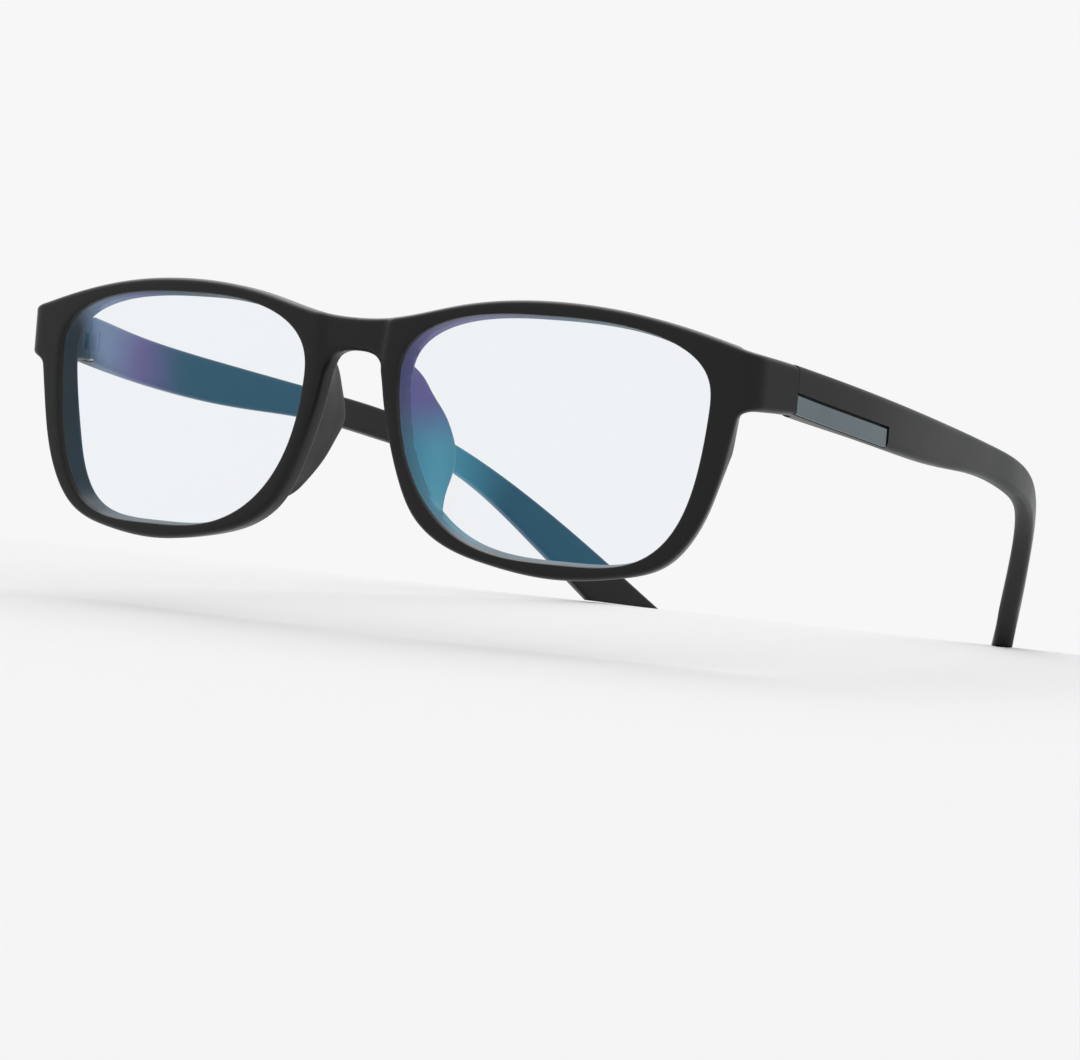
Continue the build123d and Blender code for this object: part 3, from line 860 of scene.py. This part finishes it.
def lens_material():
    """A thin hard coating with a painted reflection: the tint it mirrors is painted in by position
    and runs from steel blue through violet to blue-green across the front, with violet high up
    beside the nose and painted shade at one end. The rest of the light goes through."""
    made = bpy.data.materials.new("coated lens")
    made.use_nodes = True
    tree = made.node_tree
    shader = tree.nodes["Principled BSDF"]
    shader.inputs["Metallic"].default_value = 1.0
    at = add(tree, "ShaderNodeTexCoord").outputs["Object"]
    parts = add(tree, "ShaderNodeSeparateXYZ")
    tree.links.new(at, parts.inputs[0])
    cloud = spread(tree, noise(tree, at, 2.0, scale=40.0), -0.0025, 0.0025)
    moved = []
    for axis in ("X", "Z"):
        node = add(tree, "ShaderNodeMath", operation="ADD")
        tree.links.new(parts.outputs[axis], node.inputs[0])
        tree.links.new(cloud, node.inputs[1])
        moved.append(node.outputs[0])
    across = spread(tree, moved[0], 0.0, 1.0, (-0.064, 0.064))
    line = ramp(tree, across, TINT_AND_PAINTED_REFLECTION_LINE)
    above = add(tree, "ShaderNodeMath", operation="SUBTRACT")
    tree.links.new(spread(tree, moved[1], 0.0, 1.0, (0.0, 0.04)), above.inputs[0])
    tree.links.new(line, above.inputs[1])
    # painted reflection: the coating's tint, with painted shade and a bright painted reflection,
    # set by position
    mirror = blend(tree, spread(tree, above.outputs[0], 0.0, 1.0, (-0.07, 0.10)),
                   ramp(tree, across, TINT_AND_PAINTED_REFLECTION_LOW), ramp(tree, across, TINT_AND_PAINTED_REFLECTION_HIGH))
    rest = add(tree, "ShaderNodeMix", data_type="RGBA", blend_type="SUBTRACT")
    rest.inputs["Factor"].default_value = 1.0
    rest.inputs[6].default_value = (0.96, 0.975, 0.992, 1)
    tree.links.new(mirror, rest.inputs[7])
    tree.links.new(mirror, shader.inputs["Base Color"])
    tree.links.new(spread(tree, noise(tree, at, 2.0, scale=90.0), 0.015, 0.05),
                   shader.inputs["Roughness"])
    clear = add(tree, "ShaderNodeBsdfTransparent")
    tree.links.new(rest.outputs[2], clear.inputs["Color"])
    both = add(tree, "ShaderNodeAddShader")
    tree.links.new(clear.outputs[0], both.inputs[0])
    tree.links.new(shader.outputs[0], both.inputs[1])
    tree.links.new(both.outputs[0], tree.nodes["Material Output"].inputs["Surface"])
    return made


grain, turned = make_grain(), make_turned()
front_black = material("front black", grain, {
    "Grain": 3200.0, "Clouds": 55.0, "Dark": grey(0.0055), "Light": grey(0.0095, -0.04),
    "Smoothest": 0.30, "Roughest": 0.40,
}, (0.12, 0.00004), Specular_IOR_Level=0.21, Sheen_Weight=0.03, Sheen_Roughness=0.35,
    Sheen_Tint=(0.62, 0.9, 1.0, 1))
temple_black = material("temple black", grain, {
    "Grain": 2600.0, "Clouds": 45.0, "Dark": grey(0.008), "Light": grey(0.014, -0.05),
    "Smoothest": 0.36, "Roughest": 0.48,
}, (0.16, 0.00005), Specular_IOR_Level=0.24, Sheen_Weight=0.03, Sheen_Roughness=0.35,
    Sheen_Tint=(0.62, 0.9, 1.0, 1))
pad_black = material("pad black", grain, {
    "Grain": 2000.0, "Clouds": 80.0, "Dark": grey(0.009), "Light": grey(0.014),
    "Smoothest": 0.45, "Roughest": 0.6,
}, (0.16, 0.00005), Specular_IOR_Level=0.30)
plaque_grey = material("plaque grey", grain, {
    "Grain": 3600.0, "Clouds": 120.0, "Dark": (0.105, 0.135, 0.15, 1),
    "Light": (0.14, 0.175, 0.19, 1), "Smoothest": 0.32, "Roughest": 0.42,
}, (0.1, 0.00003), Specular_IOR_Level=0.4, Metallic=0.35)
steel = material("screw steel", turned, {
    "Clean": (0.56, 0.56, 0.57, 1), "Stained": (0.36, 0.36, 0.37, 1)}, (0.2, 0.00002), Metallic=1.0)
brass = material("insert brass", turned, {
    "Clean": (0.72, 0.52, 0.25, 1), "Stained": (0.48, 0.33, 0.15, 1)}, (0.2, 0.00002), Metallic=1.0)
lens_clear = lens_material()

# ---- the pieces ----
front_mesh = make_front()
piece("front_shell", front_mesh, "front", "frame_front", front_black)
made = {"lens": make_lens(), "pad": make_pad(), "temple": make_temple(), "plaque": make_plaque()}
for side in ("left", "right"):
    flip = side == "right"
    temple = side + "_temple"
    piece(f"lens_shell_{side}", made["lens"], "front", f"lens_{side}", lens_clear,
          flip)
    piece(f"nose_lobe_{side}", made["pad"], "front", f"nose_pad_{side}", pad_black,
          flip, crease=60)
    piece(f"temple_arm_{side}", made["temple"], temple, f"temple_{side}",
          temple_black, flip)
    piece(f"plaque_strip_{side}", made["plaque"], temple, f"plaque_{side}",
          plaque_grey, flip)
    for node, finish in ((f"hinge_screw_{side}", steel), (f"hinge_insert_{side}", brass)):
        mesh = frame["nodes"][node].data
        mesh.materials.clear()
        mesh.materials.append(finish)

# ---- the table and the light round it ----
PALE = 0.93                                  # the table and the room behind it


def make_table():
    """A seamless table: level behind the tips of the temples, and falling gently away in
    front of them, so that it can be seen from just below the glasses."""
    y = np.concatenate([np.linspace(-3.0, 0.0, 40), np.linspace(0.004, 0.12, 60),
                        np.linspace(0.15, 3.0, 30)])
    fall, crest, soft = 0.079, 0.064, 0.004      # slope, where it starts, and how softly
    z = -fall * soft * np.logaddexp(0, (crest - y) / soft)
    x = np.linspace(-3.0, 3.0, 25)
    grid = np.stack(np.broadcast_arrays(x[None, :], y[:, None], z[:, None]), -1)
    r = np.arange(len(y) - 1)[:, None]
    c = np.arange(len(x) - 1)[None, :]
    n = len(x)
    quads = np.stack(np.broadcast_arrays(
        r * n + c, r * n + c + 1, (r + 1) * n + c + 1, (r + 1) * n + c), -1).reshape(-1, 4)
    mesh = bpy.data.meshes.new("table")
    mesh.from_pydata(grid.reshape(-1, 3).tolist(), [], quads.tolist())
    mesh.shade_smooth()
    obj = bpy.data.objects.new("table", mesh)
    bpy.context.scene.collection.objects.link(obj)
    surface = bpy.data.materials.new("table")
    surface.use_nodes = True
    tree = surface.node_tree
    shader = tree.nodes["Principled BSDF"]
    shader.inputs["Roughness"].default_value = 0.9
    shader.inputs["Specular IOR Level"].default_value = 0.0
    at = add(tree, "ShaderNodeTexCoord").outputs["Object"]
    tone = blend(tree, noise(tree, at, 2.0, scale=4.0), (PALE, PALE, PALE, 1),
                 (PALE + 0.01, PALE + 0.01, PALE + 0.01, 1))
    tree.links.new(tone, shader.inputs["Base Color"])
    mesh.materials.append(surface)


def make_world(strength):
    """Even light, which looks like the pale room to the camera, to gloss and through glass."""
    world = bpy.data.worlds.new("room")
    bpy.context.scene.world = world
    world.use_nodes = True
    tree = world.node_tree
    light = tree.nodes["Background"]
    light.inputs["Color"].default_value = (1.0, 1.0, 1.0, 1)
    light.inputs["Strength"].default_value = strength
    seen = add(tree, "ShaderNodeBackground")
    seen.inputs["Color"].default_value = (PALE, PALE, PALE, 1)
    path = add(tree, "ShaderNodeLightPath")
    share = path.outputs["Is Camera Ray"]
    for label in ("Is Glossy Ray", "Is Transmission Ray"):
        either = add(tree, "ShaderNodeMath", operation="MAXIMUM")
        tree.links.new(share, either.inputs[0])
        tree.links.new(path.outputs[label], either.inputs[1])
        share = either.outputs[0]
    mix = add(tree, "ShaderNodeMixShader")
    tree.links.new(share, mix.inputs["Fac"])
    tree.links.new(light.outputs[0], mix.inputs[1])
    tree.links.new(seen.outputs[0], mix.inputs[2])
    tree.links.new(mix.outputs[0], tree.nodes["World Output"].inputs["Surface"])


def make_sun(name, source, strength, width):
    """Soft light from one direction."""
    data = bpy.data.lights.new(name, "SUN")
    data.energy = strength
    data.angle = np.radians(width)
    lamp = bpy.data.objects.new(name, data)
    lamp.rotation_euler = Vector(source).to_track_quat("Z", "Y").to_euler()
    bpy.context.scene.collection.objects.link(lamp)


make_table()
make_world(0.76)
make_sun("over", (-0.45, 0.45, 0.77), 0.85, 50)
make_sun("side", (0.8, 0.3, 0.45), 0.12, 40)

# ---- the camera ----
VIEW_FROM = (0.41274, -0.62468, -0.01222)    # metres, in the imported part's frame
FORWARD, RIGHT = (-0.56284, 0.82606, 0.02898), (0.82257, 0.55634, 0.11773)
FOCAL = 150.96

optics = bpy.data.cameras.new("view")
optics.sensor_width = 36.0
optics.lens = FOCAL
optics.clip_start, optics.clip_end = 0.01, 20.0
camera = bpy.data.objects.new("view", optics)
forward, right = Vector(FORWARD), Vector(RIGHT)
right = (right - forward * right.dot(forward) / forward.length_squared).normalized()
forward.normalize()
up = right.cross(forward)
camera.matrix_world = Matrix((
    (right.x, up.x, -forward.x, VIEW_FROM[0]),
    (right.y, up.y, -forward.y, VIEW_FROM[1]),
    (right.z, up.z, -forward.z, VIEW_FROM[2]),
    (0, 0, 0, 1),
))
bpy.context.scene.collection.objects.link(camera)
bpy.context.scene.camera = camera
bpy.context.scene.view_settings.view_transform = "Standard"
